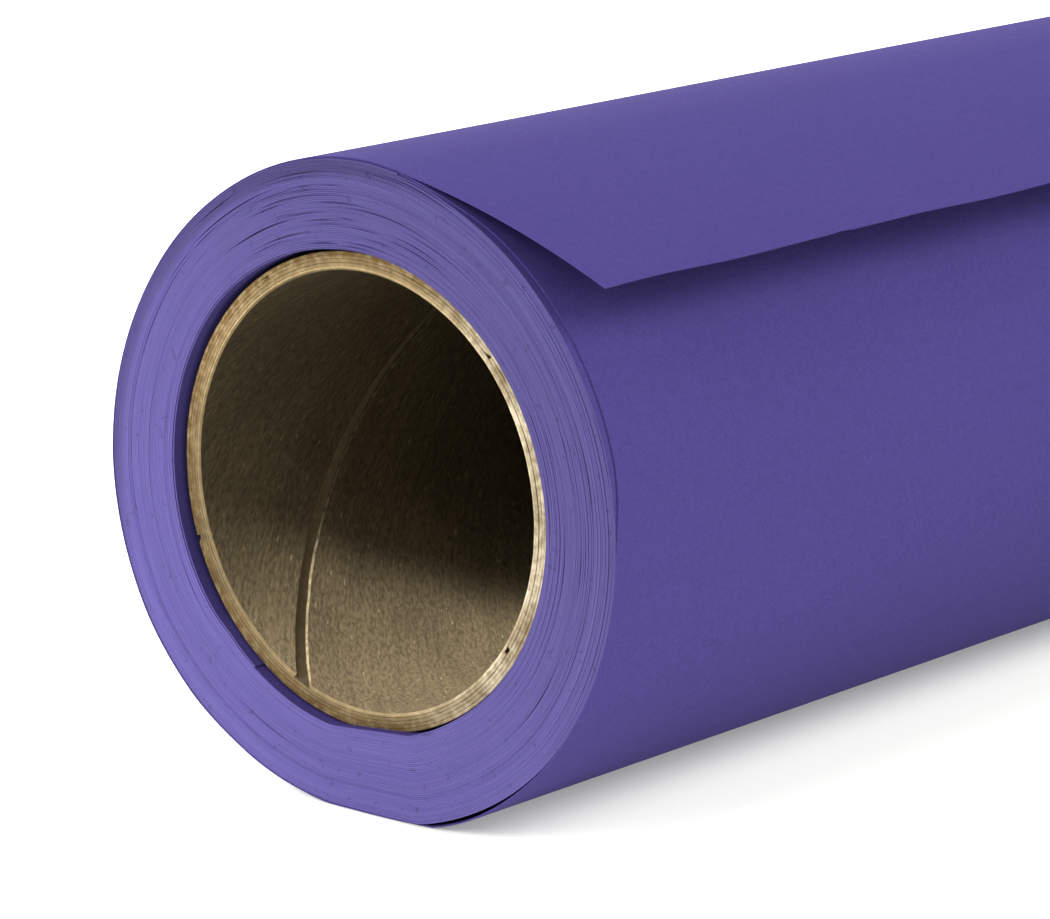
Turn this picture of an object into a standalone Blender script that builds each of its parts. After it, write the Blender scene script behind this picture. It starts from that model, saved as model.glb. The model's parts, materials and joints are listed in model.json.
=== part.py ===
"""Backdrop paper roll: one long sheet of seamless paper wound on a spiral cardboard core.

Metres, +Z up. The roll lies on its flattened underside with its axis along X, and its near end
faces -X. Round the axis, an angle of 0 degrees faces the front (-Y) and 90 degrees faces up.
The sheet is followed from its loose outer end inwards, in the direction of a rising angle.
"""

import math

import bmesh
import bpy

# Roll and sheet
ROLL_LENGTH = 1.350
ROLL_RADIUS = 0.0432
AXIS_HEIGHT = 0.0416  # lower than the radius, because the roll flattens where it lies
SHEET_THICKNESS = 0.0002
FIRST_TURN_INNER_RADIUS = 0.0314
START_EDGE_ANGLE = 235.0  # where the sheet's inner end is taped down
LIFT_ANGLE = 80.0  # where the loose end leaves the roll
WHOLE_TURNS = 47
TURNS = WHOLE_TURNS + (START_EDGE_ANGLE - LIFT_ANGLE) / 360
TURN_PITCH = (ROLL_RADIUS - FIRST_TURN_INNER_RADIUS - SHEET_THICKNESS) / TURNS
WINDING_GAP = 0.00006
OUTER_TURN_SETBACK = 0.0005
PAPER_STEP = 5.0  # degrees for each flat of the paper's faceted surfaces

# Loose end of the sheet: strips that stand for one bending sheet, hinged where they meet
LOOSE_END_LENGTH = 0.035
LOOSE_END_RISE = 0.0002  # how far the sheet stands off the roll where the strips begin
LOOSE_END_BEND_RADIUS = 0.147
STRIP_COUNT = 5
STRIP_GAP = 0.0003
STRIP_STATIONS = 4

# Core: helical plies, glued one over the other
CORE_RECESS = 0.00125
BORE_RADIUS = 0.028575
PLY_THICKNESS = 0.00044
GLUE_LINE = 0.00005
PLY_LEAD = 0.157
CORE_SIDES = 24
LINER_BUTT_GAP = 0.0022  # along the axis; the liner's butt joint stands open
PLY_BUTT_GAP = 0.0006
LINER_SEAM_ANGLE = 249.0  # where the liner's joint meets the near end of the core
SEAM_STAGGER = 78.0  # degrees from one ply's joint to the next one's

# Tape between the core and the sheet's inner end
TAPE_THICKNESS = 0.00022
TAPE_LENGTH = 0.050
TAPE_ARC = 35.0
TAPE_END_MARGIN = 0.040

PURPLE = (0.095, 0.075, 0.300)
KRAFT = (0.330, 0.240, 0.120)
KRAFT_LINER = (0.200, 0.145, 0.075)
TAPE_CREAM = (0.620, 0.520, 0.330)


def clear_scene():
    for old in list(bpy.data.objects):
        bpy.data.objects.remove(old)


def make_material(name, colour, roughness):
    material = bpy.data.materials.new(name)
    material.use_nodes = True
    shader = material.node_tree.nodes["Principled BSDF"]
    shader.inputs["Base Color"].default_value = (*colour, 1.0)
    shader.inputs["Roughness"].default_value = roughness
    shader.inputs["Metallic"].default_value = 0.0
    return material


def round_axis(radius, angle):
    """(y, z) of a point this far from the roll's axis."""
    turned = math.radians(angle)
    return -radius * math.cos(turned), AXIS_HEIGHT + radius * math.sin(turned)


def add_sheet(name, material, sections, near_x, far_x, origin=(0.0, 0.0, 0.0), ring=False):
    """A solid whose cross-section runs through (inner, outer) point pairs, extruded along X."""
    bm = bmesh.new()
    rows = []
    for inner, outer in sections:
        corners = [(near_x, *inner), (near_x, *outer), (far_x, *outer), (far_x, *inner)]
        rows.append([bm.verts.new([c - o for c, o in zip(corner, origin)]) for corner in corners])
    following = rows[1:] + rows[:1] if ring else rows[1:]
    for row, after in zip(rows, following):
        for i in range(4):
            j = (i + 1) % 4
            bm.faces.new((row[i], row[j], after[j], after[i]))
    if not ring:
        bm.faces.new(rows[0])
        bm.faces.new(rows[-1])
    return add_object(name, material, bm, origin)


def add_object(name, material, bm, origin=(0.0, 0.0, 0.0)):
    bmesh.ops.recalc_face_normals(bm, faces=bm.faces)
    mesh = bpy.data.meshes.new(name)
    bm.to_mesh(mesh)
    bm.free()
    mesh.materials.append(material)
    mesh.shade_smooth()
    mesh.set_sharp_from_angle(angle=math.radians(30))
    piece = bpy.data.objects.new(name, mesh)
    piece.location = origin
    bpy.context.scene.collection.objects.link(piece)
    return piece


def stepped(first, last):
    """Angles from first to last, one for each flat of the paper."""
    steps = round(abs(last - first) / PAPER_STEP)
    return [first + (last - first) * i / steps for i in range(steps + 1)]


# ---------------------------------------------------------------- cardboard core


def ply_point(radius, station):
    """A point on a ply's many-sided outline. Station numbers count the sides, downwards in angle."""
    before = math.floor(station)
    part = station - before
    side = 360 / CORE_SIDES
    start = round_axis(radius, -before * side)
    end = round_axis(radius, -(before + 1) * side)
    return tuple(a + (b - a) * part for a, b in zip(start, end))


def add_ply(name, material, inner_radius, seam_angle, butt_gap):
    """A helical strip of board, cut off square at both ends of the core."""
    near_x = -ROLL_LENGTH / 2 + CORE_RECESS
    length = ROLL_LENGTH - 2 * CORE_RECESS
    stations_per_metre = CORE_SIDES / PLY_LEAD
    seam_station = -seam_angle * CORE_SIDES / 360
    half_gap = butt_gap / 2

    first = seam_station - CORE_SIDES + half_gap * stations_per_metre
    near_edge_starts = seam_station - half_gap * stations_per_metre
    far_edge_ends = seam_station - CORE_SIDES + (length + half_gap) * stations_per_metre
    last = seam_station + (length - half_gap) * stations_per_metre
    whole = range(math.ceil(first), math.floor(last) + 1)
    stations = sorted({first, near_edge_starts, far_edge_ends, last, *whole})

    bm = bmesh.new()
    rows = []
    for station in stations:
        seam_x = (station - seam_station) / stations_per_metre
        low = near_x + max(seam_x + half_gap, 0.0)
        high = near_x + min(seam_x + PLY_LEAD - half_gap, length)
        inner = ply_point(inner_radius, station)
        outer = ply_point(inner_radius + PLY_THICKNESS, station)
        corners = [(low, *inner), (low, *outer), (high, *outer), (high, *inner)]
        rows.append([bm.verts.new(corner) for corner in corners])
    for row, after in zip(rows, rows[1:]):
        for i in range(4):
            j = (i + 1) % 4
            bm.faces.new((row[i], row[j], after[j], after[i]))
    # The strip narrows to a point at each end, where its two edges meet.
    bmesh.ops.remove_doubles(bm, verts=bm.verts, dist=1e-7)
    return add_object(name, material, bm)


def build_core():
    board = make_material("core_board", KRAFT, 0.85)
    liner = make_material("core_liner", KRAFT_LINER, 0.85)
    ply_names = ["core_liner_ply", "core_body_ply_1", "core_body_ply_2", "core_body_ply_3", "core_cover_ply"]
    for i, name in enumerate(ply_names):
        is_liner = i == 0
        add_ply(
            name,
            liner if is_liner else board,
            BORE_RADIUS + i * (PLY_THICKNESS + GLUE_LINE),
            LINER_SEAM_ANGLE + i * SEAM_STAGGER,
            LINER_BUTT_GAP if is_liner else PLY_BUTT_GAP,
        )
    return BORE_RADIUS + len(ply_names) * (PLY_THICKNESS + GLUE_LINE)


def build_start_tapes(core_radius):
    tape = make_material("start_tape", TAPE_CREAM, 0.6)
    reach = ROLL_LENGTH / 2 - TAPE_END_MARGIN - TAPE_LENGTH
    for name, near_x in (("near", -reach - TAPE_LENGTH), ("middle", -TAPE_LENGTH / 2), ("far", reach)):
        sections = [
            (round_axis(core_radius + WINDING_GAP / 2, angle), round_axis(core_radius + TAPE_THICKNESS, angle))
            for angle in stepped(START_EDGE_ANGLE - TAPE_ARC, START_EDGE_ANGLE)
        ]
        add_sheet(f"start_tape_{name}", tape, sections, near_x, near_x + TAPE_LENGTH)


# ---------------------------------------------------------------- wound paper


def turn_radius(turns_in):
    """Outer surface of the sheet, counted in turns inwards from where the loose end leaves."""
    return ROLL_RADIUS - TURN_PITCH * turns_in


def rested(point, depth):
    """The point, kept above the plane that the roll lies on by its depth below the surface."""
    y, z = point
    return y, max(z, depth)


def build_first_turn(material):
    sections = []
    for angle in stepped(START_EDGE_ANGLE - 360, START_EDGE_ANGLE):
        outer_radius = turn_radius(TURNS + (angle - START_EDGE_ANGLE) / 360)
        inner = round_axis(outer_radius - SHEET_THICKNESS, angle)
        sections.append((inner, round_axis(outer_radius, angle)))
    half = ROLL_LENGTH / 2
    add_sheet("paper_first_turn", material, sections, -half, half)


def build_wound_turns(material):
    """All the turns between the first and the outermost, as one thick ring."""
    inner_radius = turn_radius(TURNS - 1) + WINDING_GAP
    outer_radius = turn_radius(1) - SHEET_THICKNESS - WINDING_GAP
    depth = SHEET_THICKNESS + WINDING_GAP
    sections = [
        (round_axis(inner_radius, angle), rested(round_axis(outer_radius, angle), depth))
        for angle in stepped(0, 360)[:-1]
    ]
    half = ROLL_LENGTH / 2
    add_sheet("paper_wound_turns", material, sections, -half, half, ring=True)


def build_outer_turn(material):
    sections = []
    for angle in stepped(LIFT_ANGLE, LIFT_ANGLE + 360):
        radius = turn_radius((angle - LIFT_ANGLE) / 360)
        inner = rested(round_axis(radius - SHEET_THICKNESS, angle), SHEET_THICKNESS)
        sections.append((inner, rested(round_axis(radius, angle), 0.0)))
    half = ROLL_LENGTH / 2 - OUTER_TURN_SETBACK
    add_sheet("paper_outer_turn", material, sections, -half, half)


def loose_end_frame(distance):
    """Middle of the loose end this far from the roll, with its outward normal, as (y, z) pairs."""
    start_radius = ROLL_RADIUS - SHEET_THICKNESS / 2 + LOOSE_END_RISE
    start_y, start_z = round_axis(start_radius, LIFT_ANGLE)
    first = math.radians(90 - LIFT_ANGLE)
    slope = first + distance / LOOSE_END_BEND_RADIUS
    y = start_y - LOOSE_END_BEND_RADIUS * (math.sin(slope) - math.sin(first))
    z = start_z + LOOSE_END_BEND_RADIUS * (math.cos(slope) - math.cos(first))
    return (y, z), (-math.sin(slope), math.cos(slope))


def build_loose_end(material):
    """Strips hinged along lines parallel to the roll, each with its origin on its own hinge line."""
    strip_length = LOOSE_END_LENGTH / STRIP_COUNT
    half_thickness = SHEET_THICKNESS / 2
    half = ROLL_LENGTH / 2 - OUTER_TURN_SETBACK
    for strip in range(STRIP_COUNT):
        hinge = strip * strip_length
        begin = hinge + STRIP_GAP / 2
        if strip == 0:
            begin = STRIP_GAP
        end = hinge + strip_length - STRIP_GAP / 2
        sections = []
        for i in range(STRIP_STATIONS):
            (y, z), (ny, nz) = loose_end_frame(begin + (end - begin) * i / (STRIP_STATIONS - 1))
            inner = (y - ny * half_thickness, z - nz * half_thickness)
            sections.append((inner, (y + ny * half_thickness, z + nz * half_thickness)))
        origin = (0.0, *loose_end_frame(hinge)[0])
        add_sheet(f"paper_loose_end_{strip + 1}", material, sections, -half, half, origin)


def main():
    clear_scene()
    build_start_tapes(build_core())
    paper = make_material("seamless_paper", PURPLE, 0.75)
    build_first_turn(paper)
    build_wound_turns(paper)
    build_outer_turn(paper)
    build_loose_end(paper)


main()
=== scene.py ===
"""Looks of the backdrop paper roll: fine paper, board and loose-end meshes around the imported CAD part.

Metres, +Z up. Round the roll's axis, 0 degrees faces the front (-Y) and 90 degrees faces up. The sheet
is counted in turns from its taped inner edge outwards, and its angle falls as the turns go up.
"""

import json
import math

import bpy
import numpy as np
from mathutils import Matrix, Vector


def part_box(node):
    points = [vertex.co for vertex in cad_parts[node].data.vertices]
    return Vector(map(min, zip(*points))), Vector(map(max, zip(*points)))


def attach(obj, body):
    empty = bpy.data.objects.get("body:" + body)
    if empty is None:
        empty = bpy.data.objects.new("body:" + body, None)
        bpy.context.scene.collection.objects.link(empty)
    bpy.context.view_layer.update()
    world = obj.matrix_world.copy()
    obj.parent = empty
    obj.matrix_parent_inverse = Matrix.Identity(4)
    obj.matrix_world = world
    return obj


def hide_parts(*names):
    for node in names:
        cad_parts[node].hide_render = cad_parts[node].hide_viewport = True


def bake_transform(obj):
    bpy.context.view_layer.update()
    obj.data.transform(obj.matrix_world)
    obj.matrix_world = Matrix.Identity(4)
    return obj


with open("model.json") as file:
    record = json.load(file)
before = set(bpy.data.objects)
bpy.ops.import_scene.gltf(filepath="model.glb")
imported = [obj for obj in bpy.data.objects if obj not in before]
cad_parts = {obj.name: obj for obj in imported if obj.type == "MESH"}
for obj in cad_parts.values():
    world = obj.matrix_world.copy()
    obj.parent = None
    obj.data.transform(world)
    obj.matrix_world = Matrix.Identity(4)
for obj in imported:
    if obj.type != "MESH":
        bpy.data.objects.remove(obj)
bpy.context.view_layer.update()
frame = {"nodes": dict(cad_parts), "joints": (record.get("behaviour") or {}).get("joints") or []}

MM = 0.001
TAU = 2 * math.pi

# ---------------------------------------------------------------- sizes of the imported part

PAPER_LOW, PAPER_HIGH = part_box("paper_wound_turns")
CORE_LOW, CORE_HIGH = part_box("core_cover_ply")
LINER_LOW, LINER_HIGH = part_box("core_liner_ply")
AXIS_HEIGHT = (CORE_LOW.z + CORE_HIGH.z) / 2
NEAR_X, FAR_X = PAPER_LOW.x, PAPER_HIGH.x
CORE_NEAR_X, CORE_FAR_X = CORE_LOW.x, CORE_HIGH.x
HINGES = [Vector(joint["pos_m"]) for joint in frame["joints"]]

# ---------------------------------------------------------------- core

PLY_NAMES = ["core_liner_ply", "core_body_ply_1", "core_body_ply_2", "core_body_ply_3", "core_cover_ply"]
PLY_PITCH = 0.49 * MM
PLY_THICKNESS = 0.475 * MM
PACKED_PLY_THICKNESS = 0.44 * MM  # thinner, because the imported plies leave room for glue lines
BORE_RADIUS = (LINER_HIGH.z - LINER_LOW.z) / 2 - PACKED_PLY_THICKNESS
CORE_LIFT = 0.3 * MM  # the winding has sagged round the core, which stands this much above the middle
CORE_RADIUS = BORE_RADIUS + len(PLY_NAMES) * PLY_PITCH
PLY_LEAD = 157 * MM
LINER_SEAM_ANGLE = 249.0  # where the liner's open butt joint meets the near end
SEAM_STAGGER = 78.0  # degrees from one ply's joint to the next one's
LINER_BUTT_GAP = 2.2 * MM
PLY_BUTT_GAP = 0.6 * MM
PLY_STEP = 1.0  # degrees
PLY_SEED = 50

# ---------------------------------------------------------------- winding

SHEET_THICKNESS = 0.2 * MM
ROLL_RADIUS = 43.2 * MM
FIRST_TURN_RADIUS = 31.6 * MM
START_EDGE_ANGLE = 235.0  # where the sheet's inner end is taped down
LIFT_ANGLE = 80.0  # where the loose end leaves the roll
WHOLE_TURNS = 47
TURNS = WHOLE_TURNS + (START_EDGE_ANGLE - LIFT_ANGLE) / 360
WOUND_FILL = 0.95  # share of each turn's pitch that paper takes up
OUTER_FILL = 0.98
STATIONS_PER_TURN = 180
FIRST_TURN_SEED, WOUND_SEED, OUTER_SEED, BOW_SEED = 70, 80, 90, 3
# Radius in mm of the first turn's inside and of the whole roll, by angle: the roll has sagged where it
# lies, the paper stands a little off the core on top, and the outermost turns are loose where they lift.
INNER_OUTLINE = ((-170, 32.05), (-150, 31.9), (-143, 31.7), (-135, 31.15), (-110, 30.95), (-92, 30.82),
                 (-60, 30.85), (-30, 31.35), (0, 31.55), (45, 31.55), (75, 31.55), (95, 31.6), (115, 31.85),
                 (140, 32.25))
OUTER_OUTLINE = ((180, 43.55), (-150, 43.5), (-135, 43.1), (-120, 42.45), (-98, 41.9), (-72, 42.95),
                 (-40, 43.5), (10, 43.2), (45, 43.15), (68, 43.1), (80, 43.42), (95, 43.55), (125, 43.1),
                 (145, 43.1))

LOOSE_END_LENGTH = 35 * MM
LOOSE_END_BEND_RADIUS = 147 * MM
STRIP_LENGTH = LOOSE_END_LENGTH / len(HINGES)
LOOSE_END_COLUMNS = 541
WAVE_SEED, FLUTTER_SEED, CUT_SEED = 11, 12, 21
END_SETBACK = 0.5 * MM  # the outermost turn and the loose end start this far inside the roll's ends


# ---------------------------------------------------------------- small helpers


def smooth(value, low, high):
    """0 before low, 1 after high, and an eased step between them. Low may be the larger one."""
    part = np.clip((value - low) / (high - low), 0.0, 1.0)
    return part * part * (3 - 2 * part)


def bump(value, centre, width):
    return np.exp(-(((value - centre) / width) ** 2))


def wrapped(angle):
    """The same angle between -180 and 180 degrees."""
    return (np.asarray(angle, float) + 180.0) % 360.0 - 180.0


def round_outline(outline, angle):
    """Eased interpolation round a closed outline of (degrees, value) points."""
    knots = sorted((float(wrapped(a)), v) for a, v in outline)
    knots = [(knots[-1][0] - 360, knots[-1][1]), *knots, (knots[0][0] + 360, knots[0][1])]
    at = wrapped(angle)
    result = np.zeros_like(at)
    for (a, value), (b, after) in zip(knots, knots[1:]):
        inside = (at >= a) & (at < b)
        share = (at - a) / (b - a)
        eased = 0.5 * share + 0.5 * smooth(share, 0.0, 1.0)
        result = np.where(inside, value + (after - value) * eased, result)
    return result


def wander(random, count, spacing):
    """A smooth random line of this many samples between -1 and 1, with a knot every spacing samples."""
    knots = random.uniform(-1, 1, int(count / spacing) + 3)
    at = np.arange(count) / spacing
    before = at.astype(int)
    share = smooth(at - before, 0.0, 1.0)
    return knots[before] * (1 - share) + knots[before + 1] * share


def ripple(seed, x, across, wavelengths):
    """A smooth random relief over a sheet, about -1 to 1. Both coordinates are in metres."""
    random = np.random.RandomState(seed)
    total = 0.0
    for wavelength in wavelengths:
        heading, phase = random.uniform(-0.9, 0.9), random.uniform(0, TAU)
        distance = x * math.cos(heading) + across * math.sin(heading)
        total = total + np.sin(TAU * distance / wavelength + phase)
    return total / math.sqrt(len(wavelengths))


def round_axis(radius, angle):
    """(y, z) of a point this far from the roll's axis."""
    turned = np.radians(angle)
    return -radius * np.cos(turned), AXIS_HEIGHT + radius * np.sin(turned)


def solid_of(name, rows, materials, material_index, paper_map=None):
    """A closed solid through rows of points, shaped (stations, corners, 3). Material_index is by corner."""
    stations, corners, _ = rows.shape
    index = np.arange(stations * corners).reshape(stations, corners)
    after = np.roll(index, -1, axis=1)
    faces = np.stack([index[:-1], after[:-1], after[1:], index[1:]], axis=-1).reshape(-1, 4)
    points = rows.reshape(-1, 3)
    a, b, c, d = (points[faces[:, i]] for i in range(4))
    volume = (np.einsum("ij,ij->i", a, np.cross(b, c)) + np.einsum("ij,ij->i", a, np.cross(c, d))).sum()
    caps = [index[0][::-1].tolist(), index[-1].tolist()]
    all_faces = faces.tolist() + caps
    if volume < 0:
        all_faces = [face[::-1] for face in all_faces]
    mesh = bpy.data.meshes.new(name)
    mesh.from_pydata(points.tolist(), [], all_faces)
    for material in materials:
        mesh.materials.append(material)
    by_face = np.append(np.tile(material_index, stations - 1), [0, 0]).astype(np.int32)
    mesh.polygons.foreach_set("material_index", by_face)
    if paper_map is not None:
        attribute = mesh.attributes.new("laid", "FLOAT_VECTOR", "POINT")
        attribute.data.foreach_set("vector", paper_map.astype(np.float32).ravel())
    mesh.shade_smooth()
    mesh.set_sharp_from_angle(angle=math.radians(30))
    piece = bpy.data.objects.new(name, mesh)
    bpy.context.scene.collection.objects.link(piece)
    return piece


# ---------------------------------------------------------------- materials


class Nodes:
    """A material's node tree, with one short call for each kind of node."""

    def __init__(self, name):
        self.material = bpy.data.materials.new(name)
        self.material.use_nodes = True
        self.tree = self.material.node_tree
        self.shader = self.tree.nodes["Principled BSDF"]

    def node(self, kind, **settings):
        made = self.tree.nodes.new(kind)
        for key, value in settings.items():
            setattr(made, key, value)
        return made

    def put(self, socket, value):
        if isinstance(value, bpy.types.NodeSocket):
            self.tree.links.new(value, socket)
        else:
            socket.default_value = value

    def math(self, operation, a, b=0.0, c=0.0):
        made = self.node("ShaderNodeMath", operation=operation)
        for socket, value in zip(made.inputs, (a, b, c)):
            self.put(socket, value)
        return made.outputs[0]

    def place(self):
        """The point in the row frame."""
        return self.node("ShaderNodeTexCoord").outputs["Object"]

    def laid(self):
        """The point on the flat sheet: metres along it, metres across it, and the turn it is in."""
        return self.node("ShaderNodeAttribute", attribute_name="laid").outputs["Vector"]

    def scaled(self, vector, x, y, z):
        made = self.node("ShaderNodeMapping")
        self.put(made.inputs["Vector"], vector)
        made.inputs["Scale"].default_value = (x, y, z)
        return made.outputs["Vector"]

    def noise(self, vector, scale, detail=2.0, roughness=0.5):
        made = self.node("ShaderNodeTexNoise")
        self.put(made.inputs["Vector"], vector)
        made.inputs["Scale"].default_value = scale
        made.inputs["Detail"].default_value = detail
        made.inputs["Roughness"].default_value = roughness
        return made.outputs["Fac"]

    def ramp(self, value, low, high, from_value=0.0, to_value=1.0):
        made = self.node("ShaderNodeMapRange", interpolation_type="SMOOTHSTEP")
        for socket, given in zip(made.inputs, (value, low, high, from_value, to_value)):
            self.put(socket, given)
        return made.outputs[0]

    def mix(self, share, a, b):
        made = self.node("ShaderNodeMix", data_type="RGBA")
        self.put(made.inputs["Factor"], share)
        for name, value in (("A", a), ("B", b)):
            socket = next(s for s in made.inputs if s.name == name and s.type == "RGBA")
            self.put(socket, (*value, 1.0) if isinstance(value, tuple) else value)
        return next(s for s in made.outputs if s.type == "RGBA")

    def shade(self, colour, factor):
        """The colour times a number."""
        made = self.node("ShaderNodeVectorMath", operation="SCALE")
        self.put(made.inputs[0], colour)
        self.put(made.inputs["Scale"], factor)
        return made.outputs[0]

    def relief(self, *layers):
        """Bumps one over the other, each (height, metres)."""
        normal = None
        for height, distance in layers:
            made = self.node("ShaderNodeBump")
            made.inputs["Strength"].default_value = 1.0
            made.inputs["Distance"].default_value = distance
            self.put(made.inputs["Height"], height)
            if normal is not None:
                self.put(made.inputs["Normal"], normal)
            normal = made.outputs["Normal"]
        self.put(self.shader.inputs["Normal"], normal)

    def radius(self):
        """Distance from the core's axis."""
        parts = self.node("ShaderNodeSeparateXYZ")
        self.put(parts.inputs[0], self.place())
        sideways = parts.outputs["Y"]
        up = self.math("SUBTRACT", parts.outputs["Z"], AXIS_HEIGHT + CORE_LIFT)
        squared = self.math("ADD", self.math("MULTIPLY", up, up), self.math("MULTIPLY", sideways, sideways))
        return self.math("SQRT", squared)

    def towards(self, angle):
        """Distance from the roll's axis in one direction round it, in metres."""
        turned = math.radians(angle)
        parts = self.node("ShaderNodeSeparateXYZ")
        self.put(parts.inputs[0], self.place())
        sideways = self.math("MULTIPLY", parts.outputs["Y"], -math.cos(turned))
        up = self.math("SUBTRACT", parts.outputs["Z"], AXIS_HEIGHT)
        return self.math("MULTIPLY_ADD", up, math.sin(turned), sideways)

    def finish(self, roughness, specular):
        self.shader.inputs["Roughness"].default_value = roughness
        self.shader.inputs["Specular IOR Level"].default_value = specular
        return self.material


def paper_material():
    """The face of matt seamless paper: an even colour with a fine felt-like grain."""
    m = Nodes("seamless_paper_face")
    place = m.place()
    grain = m.noise(place, 2600, detail=3, roughness=0.7)
    mottle = m.noise(place, 700, detail=3)
    cloud = m.noise(place, 14, detail=2)
    colour = m.mix(m.ramp(mottle, 0.3, 0.7), (0.051, 0.039, 0.160), (0.054, 0.041, 0.168))
    tone = m.math("ADD", m.ramp(grain, 0.25, 0.75, 0.87, 1.13), m.ramp(cloud, 0.3, 0.7, -0.02, 0.02))
    m.put(m.shader.inputs["Base Color"], m.shade(colour, tone))
    m.relief((grain, 0.010 * MM), (mottle, 0.008 * MM))
    return m.finish(roughness=0.95, specular=0.04)


def edge_material():
    """The guillotined edges of the turns: paler than the face, streaked along each turn."""
    m = Nodes("seamless_paper_edge")
    laid = m.laid()
    turns = m.noise(m.scaled(laid, 9.0, 0.0, 1.4), 1.0, detail=3, roughness=0.7)
    bands = m.noise(m.scaled(laid, 2.0, 0.0, 0.16), 1.0, detail=2)
    strands = m.noise(m.scaled(laid, 110.0, 0.0, 2.0), 1.0, detail=2, roughness=0.6)
    speck = m.noise(m.place(), 900, detail=2)
    colour = m.mix(m.ramp(turns, 0.3, 0.7), (0.077, 0.0615, 0.216), (0.092, 0.0755, 0.238))
    tone = m.math("MULTIPLY", m.ramp(strands, 0.25, 0.75, 0.92, 1.06), m.ramp(bands, 0.3, 0.7, 0.95, 1.05))
    tone = m.math("MULTIPLY", tone, m.ramp(speck, 0.26, 0.36, 0.72, 1.0))
    # Painted light: the edges are palest low down on the back and darkest high on the front.
    tone = m.math("MULTIPLY", tone, m.ramp(m.towards(-130), -0.043, 0.043, 0.80, 1.26))
    # Painted shade: the outermost turns are darker on top, towards the back.
    turn = m.node("ShaderNodeSeparateXYZ")
    m.put(turn.inputs[0], laid)
    outermost = m.ramp(turn.outputs["Z"], TURNS - 13, TURNS - 5)
    painted_shade_on_top = m.math("MULTIPLY", outermost, m.ramp(m.towards(135), 0.012, 0.034))
    tone = m.math("MULTIPLY", tone, m.ramp(painted_shade_on_top, 0.0, 1.0, 1.0, 0.68))
    m.put(m.shader.inputs["Base Color"], m.shade(colour, tone))
    m.relief((strands, 0.02 * MM), (speck, 0.01 * MM))
    return m.finish(roughness=0.85, specular=0.2)


def board_face_material(name, dark, light):
    """Grey kraft board wound in a helix: fibres and streaks run along each ply."""
    m = Nodes(name)
    laid = m.laid()
    fibres = m.noise(m.scaled(laid, 800.0, 2300.0, 0.0), 1.0, detail=4, roughness=0.7)
    streaks = m.noise(m.scaled(laid, 60.0, 900.0, 0.0), 1.0, detail=2)
    clouds = m.noise(m.scaled(laid, 60.0, 90.0, 0.0), 1.0, detail=3)
    flecks = m.noise(m.scaled(laid, 500.0, 1700.0, 0.0), 1.0, detail=1)
    colour = m.mix(m.ramp(fibres, 0.28, 0.72), dark, light)
    tone = m.math("MULTIPLY", m.ramp(streaks, 0.25, 0.75, 0.86, 1.14), m.ramp(clouds, 0.3, 0.7, 0.88, 1.1))
    colour = m.mix(m.ramp(flecks, 0.66, 0.8, 0.0, 0.7), m.shade(colour, tone), (0.220, 0.172, 0.100))
    # Painted light: the board is paler along the bottom of the bore and darker on top.
    colour = m.shade(colour, m.ramp(m.towards(-80), -0.025, 0.029, 0.72, 1.3))
    m.put(m.shader.inputs["Base Color"], colour)
    m.relief((streaks, 0.04 * MM), (fibres, 0.035 * MM))
    return m.finish(roughness=0.85, specular=0.12)


def board_cut_material():
    """Board cut across: pulpy fibres in thin layers, brown and darkened low on the back by painted shade,
    and scuffed pale on the front.

    The long edges of the plies, along the butt seams, are as grey as the board's faces.
    """
    m = Nodes("core_board_cut")
    radius = m.radius()
    depth = m.ramp(radius, BORE_RADIUS, CORE_RADIUS)
    place = m.node("ShaderNodeSeparateXYZ")
    m.put(place.inputs[0], m.place())
    laid = m.node("ShaderNodeSeparateXYZ")
    m.put(laid.inputs[0], m.laid())
    flat = m.node("ShaderNodeCombineXYZ")
    m.put(flat.inputs["X"], laid.outputs["X"])
    m.put(flat.inputs["Y"], radius)
    layers = m.noise(m.scaled(flat.outputs[0], 60.0, 2600.0, 0.0), 1.0, detail=2, roughness=0.6)
    pulp = m.noise(m.place(), 900, detail=4, roughness=0.65)
    patches = m.noise(m.place(), 160, detail=3)
    scuffed = m.math("MULTIPLY", m.ramp(m.towards(-2), 0.006, 0.026), m.ramp(patches, 0.3, 0.55, 0.4, 1.0))
    brown = m.mix(depth, (0.225, 0.162, 0.080), (0.140, 0.082, 0.028))
    brown = m.mix(m.ramp(pulp, 0.40, 0.70), brown, (0.290, 0.215, 0.112))
    # Painted shade: the brown is darker low on the back.
    brown = m.shade(brown, m.ramp(m.towards(-125), 0.0, 0.028, 1.0, 0.68))
    pale = m.mix(m.ramp(pulp, 0.36, 0.62), (0.290, 0.235, 0.150), (0.500, 0.430, 0.310))
    tone = m.math("MULTIPLY", m.ramp(layers, 0.3, 0.68, 0.88, 1.08), m.ramp(patches, 0.3, 0.7, 0.88, 1.12))
    # Painted shade: the liner's own cut, next to the bore, is darker.
    painted_shade_by_bore = m.ramp(radius, BORE_RADIUS + 0.35 * MM, BORE_RADIUS + 0.6 * MM, 0.62, 1.0)
    tone = m.math("MULTIPLY", tone, painted_shade_by_bore)
    end_cut = m.shade(m.mix(scuffed, brown, pale), tone)
    half = (CORE_FAR_X - CORE_NEAR_X) / 2
    from_middle = m.math("ABSOLUTE", m.math("SUBTRACT", place.outputs["X"], CORE_NEAR_X + half))
    at_end = m.ramp(from_middle, half - 1.4 * MM, half - 0.7 * MM)
    seam = m.mix(m.ramp(pulp, 0.3, 0.7), (0.070, 0.053, 0.029), (0.200, 0.158, 0.092))
    # Painted light: the seam walls are paler along the bottom of the bore and much darker on top.
    seam = m.shade(seam, m.ramp(m.towards(-80), -0.025, 0.029, 0.3, 1.2))
    m.put(m.shader.inputs["Base Color"], m.mix(at_end, seam, end_cut))
    m.relief((layers, 0.03 * MM), (pulp, 0.07 * MM))
    return m.finish(roughness=0.9, specular=0.12)


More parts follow.
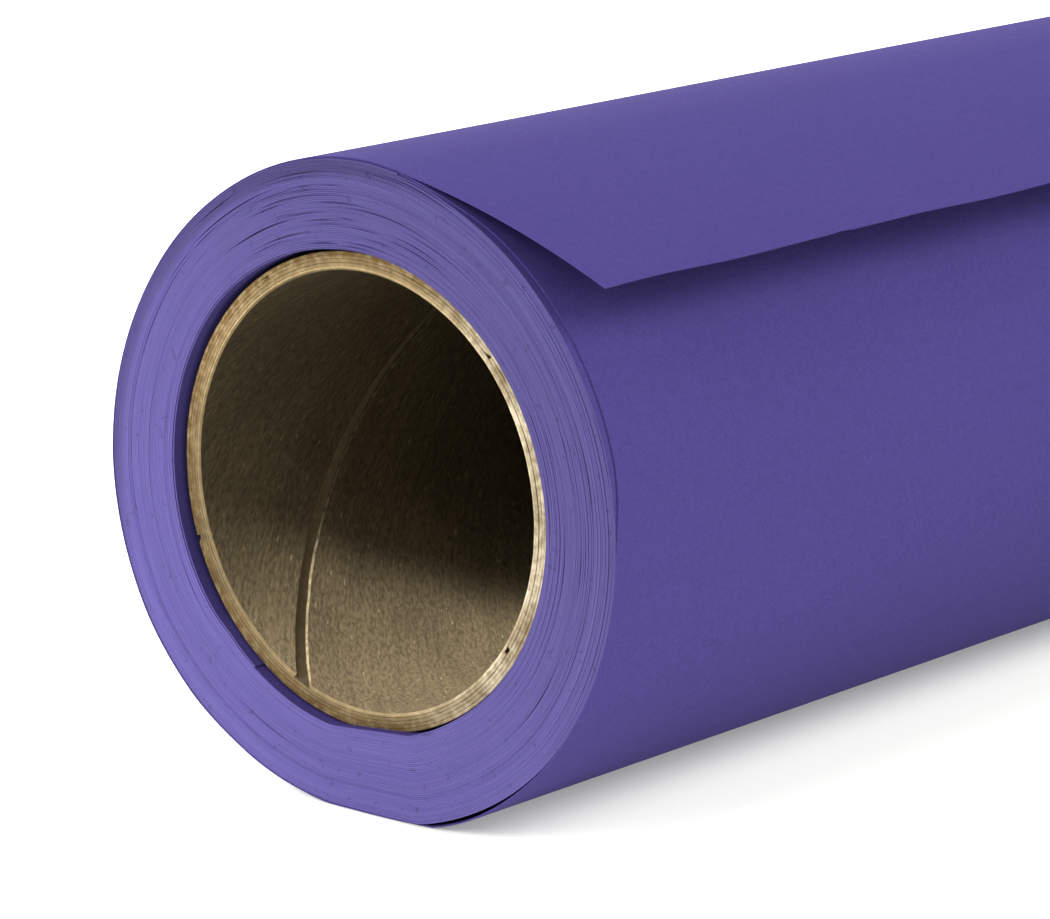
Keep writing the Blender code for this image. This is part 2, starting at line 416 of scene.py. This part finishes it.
def tape_material():
    m = Nodes("start_tape_paper")
    grain = m.noise(m.place(), 1500, detail=3)
    colour = m.mix(m.ramp(grain, 0.3, 0.7), (0.56, 0.47, 0.29), (0.66, 0.56, 0.37))
    m.put(m.shader.inputs["Base Color"], colour)
    m.relief((grain, 0.02 * MM))
    return m.finish(roughness=0.55, specular=0.4)


def floor_material():
    m = Nodes("studio_floor")
    m.shader.inputs["Base Color"].default_value = (0.94, 0.94, 0.86, 1.0)
    m.shader.inputs["Emission Color"].default_value = (1.0, 1.0, 0.93, 1.0)
    m.shader.inputs["Emission Strength"].default_value = FLOOR_GLOW
    return m.finish(roughness=0.9, specular=0.1)


# ---------------------------------------------------------------- cardboard core


def ply_piece(order, name, face, cut):
    """One helical strip of board, square to the core's ends, with slightly frayed edges."""
    random = np.random.RandomState(PLY_SEED + order)
    inner = BORE_RADIUS + order * PLY_PITCH
    outer = inner + PLY_THICKNESS
    gap = LINER_BUTT_GAP if order == 0 else PLY_BUTT_GAP
    seam_angle = LINER_SEAM_ANGLE + order * SEAM_STAGGER
    length = CORE_FAR_X - CORE_NEAR_X
    least = 0.4 * MM
    first = -360 + (gap / 2 + least) * 360 / PLY_LEAD
    last = (length - gap / 2 - least) * 360 / PLY_LEAD
    turned = np.linspace(first, last, int((last - first) / PLY_STEP))
    angle = seam_angle - turned
    seam_x = turned * PLY_LEAD / 360
    count = len(turned)

    near_fray = 0.05 * wander(random, count, 3) + 0.07 * wander(random, count, 17)
    far_fray = 0.05 * wander(random, count, 3) + 0.07 * wander(random, count, 17)
    # The plies' cut ends at the core's ends stand a little in or out of each other.
    near_cut = MM * (0.10 + 0.5 * near_fray + 0.05 * wander(random, count, 60))
    far_cut = MM * (0.10 + 0.5 * far_fray + 0.05 * wander(random, count, 60))
    low = np.maximum(seam_x + gap / 2 + MM * near_fray, near_cut)
    high = np.minimum(seam_x + PLY_LEAD - gap / 2 + MM * far_fray, length - far_cut)
    soft = 0.06 * MM
    worn = 0.22 * MM if order == 0 else soft
    # The board's worn corners, from the outside near corner round to the outside far corner.
    profile = [
        (low + soft, outer), (low, outer - soft), (low, inner + worn), (low + worn, inner),
        (high - soft, inner), (high, inner + soft), (high, outer - soft), (high - soft, outer),
    ]
    rows, laid = [], []
    tilt = math.atan2(PLY_LEAD, TAU * inner)
    for x, radius in profile:
        y, z = round_axis(np.full(count, radius), angle)
        rows.append(np.stack([CORE_NEAR_X + x, y, z + CORE_LIFT], axis=1))
        arc = np.radians(turned) * inner
        along = arc * math.cos(tilt) + x * math.sin(tilt)
        across = x * math.cos(tilt) - arc * math.sin(tilt)
        laid.append(np.stack([along, across, np.full(count, float(order))], axis=1))
    by_corner = np.array([1, 1, 1, 0, 1, 1, 1, 0])
    points, paper_map = np.stack(rows, axis=1), np.stack(laid, axis=1)
    piece = solid_of(f"{name}_board", points, [face, cut], by_corner, paper_map)
    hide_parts(name)
    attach(piece, "roll")


# ---------------------------------------------------------------- the winding


def turn_angle(turn):
    return START_EDGE_ANGLE - 360.0 * turn


def wound_surface(turn, x, depth):
    """(y, z) on a turn, at a depth below its outer surface. Nothing sinks below what the roll lies on."""
    angle = turn_angle(turn)
    inside = MM * round_outline(INNER_OUTLINE, angle) + SHEET_THICKNESS
    outside = MM * round_outline(OUTER_OUTLINE, angle)
    share = turn / TURNS
    radius = inside + (outside - inside) * share - depth
    arc = np.radians(wrapped(angle)) * radius
    bowed = 0.07 * MM * ripple(BOW_SEED, x, arc, (0.31, 0.17, 0.41, 0.23)) * share
    radius = radius + bowed * (0.4 + 0.6 * bump(wrapped(angle), 80, 60))
    # The outermost turn hangs slack low on the front, just before it reaches the floor.
    slack = 0.5 * MM * bump(wrapped(angle), -68, 18)
    radius = radius + slack * smooth(turn, TURNS - 1.0, TURNS - 0.9)
    y, z = round_axis(radius, angle)
    pitch = (outside - inside) / TURNS
    rests_at = pitch * (TURNS - turn) + depth
    softness = 0.05 * MM
    return y, rests_at + softness * np.logaddexp(0.0, (z - rests_at) / softness)


def end_relief(seed, turn):
    """How far each station of the winding's edge stands in from the end plane, in metres."""
    random = np.random.RandomState(seed)
    count = len(turn)
    at = wrapped(turn_angle(turn))
    per_turn = STATIONS_PER_TURN
    right = bump(at, -5, 55)
    lower_left = bump(at, -150, 35)
    drift = 0.07 * wander(random, count, 3.1 * per_turn) + 0.02 * wander(random, count, 1.2 * per_turn)
    jitter = 0.022 * wander(random, count, 0.17 * per_turn) + 0.006 * wander(random, count, 0.03 * per_turn)
    relief = drift + jitter * (1 + 1.6 * right - 0.5 * lower_left)
    outermost = smooth(turn, TURNS - 11, TURNS - 1)
    relief = relief + 0.16 * outermost * (1 - 0.5 * right)
    # Short stretches where one turn has slipped in and its neighbours hide it in shade.
    for centre, spread, share, deepest in ((97, 17, 46, 0.24), (0, 45, 20, 0.12), (-150, 60, 8, 0.12)):
        for _ in range(share):
            where = random.normal(centre, spread)
            layer = random.uniform(turn[0] + 1, turn[-1] - 1)
            middle = (layer + ((turn_angle(layer) - where) % 360) / 360 - turn[0]) * per_turn
            half = random.uniform(2.5, 9) * per_turn / 360
            low = max(int(middle - 2.5 * half), 0)
            high = min(int(middle + 2.5 * half), count)
            if high > low:
                slip = random.uniform(0.3, 1) * deepest
                relief[low:high] += slip * bump(np.arange(low, high), middle, half)
    return MM * relief


def sheet_rows(turn, columns, thickness, worn, near_in, far_in):
    """Rows of points for a closed length of sheet: near edge, inner face, far edge, outer face."""
    count = len(turn)
    soft = worn * thickness
    flush = np.zeros(count)
    near_x, far_x = NEAR_X + near_in, FAR_X - far_in
    shares = np.linspace(0, 1, columns)[1:-1]
    between = [(near_x + (far_x - near_x) * share) for share in shares]
    profile = [
        (near_x + soft, flush), (near_x, soft), (near_x, thickness - soft), (near_x + soft, thickness),
        *((x, thickness) for x in between),
        (far_x - soft, thickness), (far_x, thickness - soft), (far_x, soft), (far_x - soft, flush),
        *((x, flush) for x in between[::-1]),
    ]
    rows, across = [], []
    for x, depth in profile:
        y, z = wound_surface(turn, x, depth)
        rows.append(np.stack([x, y, z], axis=1))
        across.append(x)
    edge = np.zeros(len(profile), int)
    edge[[0, 1, 2]] = 1
    far_corner = 4 + len(between)
    edge[[far_corner, far_corner + 1, far_corner + 2]] = 1
    return np.stack(rows, axis=1), np.stack(across, axis=1), edge


def sheet_length(turn):
    """Metres along the sheet at a turn, from its taped edge."""
    grown = (ROLL_RADIUS - FIRST_TURN_RADIUS) / TURNS
    return TAU * (FIRST_TURN_RADIUS * turn + grown * turn**2 / 2)


def wound_piece(name, node, first_turn, last_turn, columns, fill, near_seed, setback, face, edge):
    """The sheet between two turns. It fills a share of each turn's pitch, or has its real thickness."""
    count = round((last_turn - first_turn) * STATIONS_PER_TURN) + 1
    turn = np.linspace(first_turn, last_turn, count)
    angle = turn_angle(turn)
    pitch = MM * (round_outline(OUTER_OUTLINE, angle) - round_outline(INNER_OUTLINE, angle)) / TURNS
    thickness = np.full(count, SHEET_THICKNESS) if fill is None else fill * pitch
    near_in = setback(near_seed, turn)
    far_in = setback(near_seed + 1, turn)
    worn = 0.25 if fill is None else 0.12
    rows, across, by_corner = sheet_rows(turn, columns, thickness, worn, near_in, far_in)
    along = np.broadcast_to(sheet_length(turn)[:, None], across.shape)
    turns = np.broadcast_to(turn[:, None], across.shape)
    laid = np.stack([along, across, turns], axis=2)
    piece = solid_of(name, rows, [face, edge], by_corner, laid)
    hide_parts(node)
    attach(piece, "roll")
    return piece


def first_turn_setback(seed, turn):
    """The sheet's first turn stands a little proud at the bottom, where the core presses on it."""
    at = wrapped(turn_angle(turn))
    random = np.random.RandomState(seed)
    return MM * (0.12 - 0.22 * bump(at, -85, 40) + 0.04 * wander(random, len(turn), 20))


def outer_turn_setback(seed, turn):
    """The outermost turn has slipped inwards along the front, and a little near the floor."""
    at = wrapped(turn_angle(turn))
    random = np.random.RandomState(seed)
    front = 1.3 * smooth(at, -4, 16) * smooth(at, 79, 55)
    low = 0.9 * bump(at, -70, 9)
    top = 0.5 * bump(at, 84, 14)
    return MM * (0.12 + front + low + top + 0.06 * wander(random, len(turn), 9))


# ---------------------------------------------------------------- the loose end


def loose_surface(distance, x, depth):
    """(y, z) on the loose end, this far past the line where it lifts. Before that it lies on the roll."""
    on_roll_angle = LIFT_ANGLE - np.degrees(np.minimum(distance, 0.0) / ROLL_RADIUS)
    turn = (START_EDGE_ANGLE - on_roll_angle) / 360 + WHOLE_TURNS
    roll_y, roll_z = wound_surface(turn, x, depth)
    first = math.radians(90 - LIFT_ANGLE)
    past = np.maximum(distance, 0.0)
    slope = first + past / LOOSE_END_BEND_RADIUS
    middle_y = -LOOSE_END_BEND_RADIUS * (np.sin(slope) - math.sin(first))
    middle_z = LOOSE_END_BEND_RADIUS * (np.cos(slope) - math.cos(first))
    free = past / LOOSE_END_LENGTH
    wave = 0.22 * MM * ripple(WAVE_SEED, x, past, (0.42, 0.23, 0.145)) * free**1.5
    wave = wave + 0.08 * MM * ripple(FLUTTER_SEED, x, past, (0.061, 0.038)) * free**3
    start_y, start_z = wound_surface(TURNS, x, 0.0)
    lifted = wave - depth
    flap_y = start_y + middle_y - np.sin(slope) * lifted
    flap_z = start_z + middle_z + np.cos(slope) * lifted
    return np.where(distance > 0, flap_y, roll_y), np.where(distance > 0, flap_z, roll_z)


def free_edge(x):
    """How far the cut edge is from the lift line: nearly straight, with a shallow nick by the near end."""
    along = x - NEAR_X
    uneven = 0.16 * MM * ripple(CUT_SEED, x, 0.0, (0.19, 0.083, 0.047, 0.026))
    nick = 0.22 * MM * bump(along, 47.5 * MM, 1.6 * MM)
    return LOOSE_END_LENGTH + uneven - nick


def loose_piece(order, face):
    """The part of the loose end round one hinge, from the middle of one strip to the next."""
    is_last = order == len(HINGES) - 1
    begin = order * STRIP_LENGTH - STRIP_LENGTH / 2
    end = order * STRIP_LENGTH + STRIP_LENGTH / 2
    between = np.linspace(NEAR_X, FAR_X, LOOSE_END_COLUMNS)[1:-1]
    x = np.concatenate([[NEAR_X + END_SETBACK], between, [FAR_X - END_SETBACK]])
    stations = 15 if is_last else 9
    reach = free_edge(x) if is_last else np.full(len(x), end)
    outer, inner = [], []
    for i in range(stations):
        distance = begin + (reach - begin) * i / (stations - 1)
        for side, depth in ((outer, 0.0), (inner, SHEET_THICKNESS)):
            y, z = loose_surface(distance, x, depth)
            side.append(np.stack([x, y, z], axis=1))
    # Each row runs along the sheet at one place across the roll: out on the upper face, back underneath.
    loop = np.stack(outer + inner[::-1], axis=1)
    piece = solid_of(f"paper_loose_end_{order + 1}_sheet", loop, [face], np.zeros(2 * stations, int))
    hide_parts(f"paper_loose_end_{order + 1}")
    chord = np.subtract(loose_surface(end, 0.0, 0.0), loose_surface(begin, 0.0, 0.0))
    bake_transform(piece)
    return piece


# ---------------------------------------------------------------- studio


CAMERA_FROM_END = Vector((-0.4398, -0.4057, 0.1464))  # from the middle of the roll's near end
VIEW_HEADING = 40.62  # degrees from the roll's axis
VIEW_DOWN = 13.31  # degrees below level
LENS_MM = 166.8
FLOOR_REACH = 30.0
FLOOR_GLOW = 0.25  # the floor glows a little, so that it is white behind the roll's soft shadow
WORLD_STRENGTH = 0.3
LIGHTS = {
    # name: place and aim from the middle of the near end, width, height, watts, the one piece it lights
    "key_left": ((-1.1, 0.35, 0.71), (0.0, 0.0, 0.0), 0.9, 0.9, 20.0, None),
    "bore_up": ((-0.42, 0.12, 0.45), (0.0, 0.0, -0.02), 0.12, 0.12, 12.0, "core_liner_ply_board"),
    "camera_side": ((-0.6, -0.9, 0.86), (0.0, 0.0, 0.0), 0.8, 0.8, 3.0, None),
    "front": ((0.2, -1.5, 0.46), (0.0, 0.0, 0.0), 1.2, 0.6, 4.5, None),
    "front_right": ((0.8, -1.1, 1.06), (0.0, 0.0, 0.0), 1.0, 0.8, 22.0, None),
    "top": ((0.3, 0.2, 1.5), (0.3, 0.0, 0.0), 1.2, 1.2, 9.0, None),
    "back_low": ((0.6, 1.2, 0.46), (0.0, 0.0, 0.0), 1.5, 0.6, 23.0, None),
}


def add_camera():
    camera = bpy.data.objects.new("camera", bpy.data.cameras.new("camera"))
    camera.data.lens = LENS_MM
    camera.data.sensor_fit = "HORIZONTAL"
    camera.data.sensor_width = 36.0
    camera.data.clip_start = 0.01
    camera.data.clip_end = 50.0
    camera.location = Vector((NEAR_X, 0.0, AXIS_HEIGHT)) + CAMERA_FROM_END
    heading, down = math.radians(VIEW_HEADING), math.radians(VIEW_DOWN)
    level = math.cos(down)
    forward = Vector((math.cos(heading) * level, math.sin(heading) * level, -math.sin(down)))
    camera.rotation_euler = forward.to_track_quat("-Z", "Y").to_euler()
    bpy.context.scene.collection.objects.link(camera)
    bpy.context.scene.camera = camera


def add_light(name, place, target, width, height, watts):
    data = bpy.data.lights.new(name, "AREA")
    data.shape = "RECTANGLE"
    data.size, data.size_y = width, height
    data.energy = watts
    light = bpy.data.objects.new(name, data)
    light.location = place
    light.visible_camera = False
    light.rotation_euler = (target - place).to_track_quat("-Z", "Y").to_euler()
    bpy.context.scene.collection.objects.link(light)
    return light


def build_floor():
    far = FLOOR_REACH
    corners = [(-far, -far, 0), (far, -far, 0), (far, far, 0), (-far, far, 0)]
    mesh = bpy.data.meshes.new("floor")
    mesh.from_pydata(corners, [], [(0, 1, 2, 3)])
    mesh.materials.append(floor_material())
    floor = bpy.data.objects.new("floor", mesh)
    bpy.context.scene.collection.objects.link(floor)


def light_studio():
    scene = bpy.context.scene
    scene.world = bpy.data.worlds.new("studio")
    scene.world.use_nodes = True
    background = scene.world.node_tree.nodes["Background"]
    background.inputs["Color"].default_value = (1.0, 1.0, 1.0, 1.0)
    background.inputs["Strength"].default_value = WORLD_STRENGTH
    scene.view_settings.view_transform = "Standard"
    near = Vector((NEAR_X, 0.0, AXIS_HEIGHT))
    for name, (place, aim, width, height, watts, only) in LIGHTS.items():
        light = add_light(name, near + Vector(place), near + Vector(aim), width, height, watts)
        if only:
            lit = bpy.data.collections.new(name)
            lit.objects.link(scene.objects[only])
            light.light_linking.receiver_collection = lit


# ---------------------------------------------------------------- the object


def build_core():
    liner = board_face_material("core_liner_face", (0.040, 0.030, 0.016), (0.104, 0.079, 0.043))
    board = board_face_material("core_board_face", (0.095, 0.070, 0.038), (0.150, 0.115, 0.065))
    cut = board_cut_material()
    for order, name in enumerate(PLY_NAMES):
        ply_piece(order, name, liner if order == 0 else board, cut)
    tape = tape_material()
    for place in ("near", "middle", "far"):
        frame["nodes"][f"start_tape_{place}"].data.materials[0] = tape


def build_paper():
    face, edge = paper_material(), edge_material()
    wound_piece("paper_first_turn_sheet", "paper_first_turn", 0.0, 1.0, 30, None, FIRST_TURN_SEED,
                first_turn_setback, face, edge)
    wound_piece("paper_wound_turns_sheet", "paper_wound_turns", 1.0, TURNS - 1, 2, WOUND_FILL, WOUND_SEED,
                end_relief, face, edge)
    lift_turn = TURNS - math.degrees(STRIP_LENGTH / 2 / ROLL_RADIUS) / 360
    # A single edge looks as dark as the face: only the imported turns' edges are pale.
    outer = wound_piece("paper_outer_turn_sheet", "paper_outer_turn", TURNS - 1, lift_turn, 120, OUTER_FILL,
                        OUTER_SEED, outer_turn_setback, face, face)
    loose = [loose_piece(order, face) for order in range(len(HINGES))]


build_floor()
add_camera()
build_core()
build_paper()
light_studio()
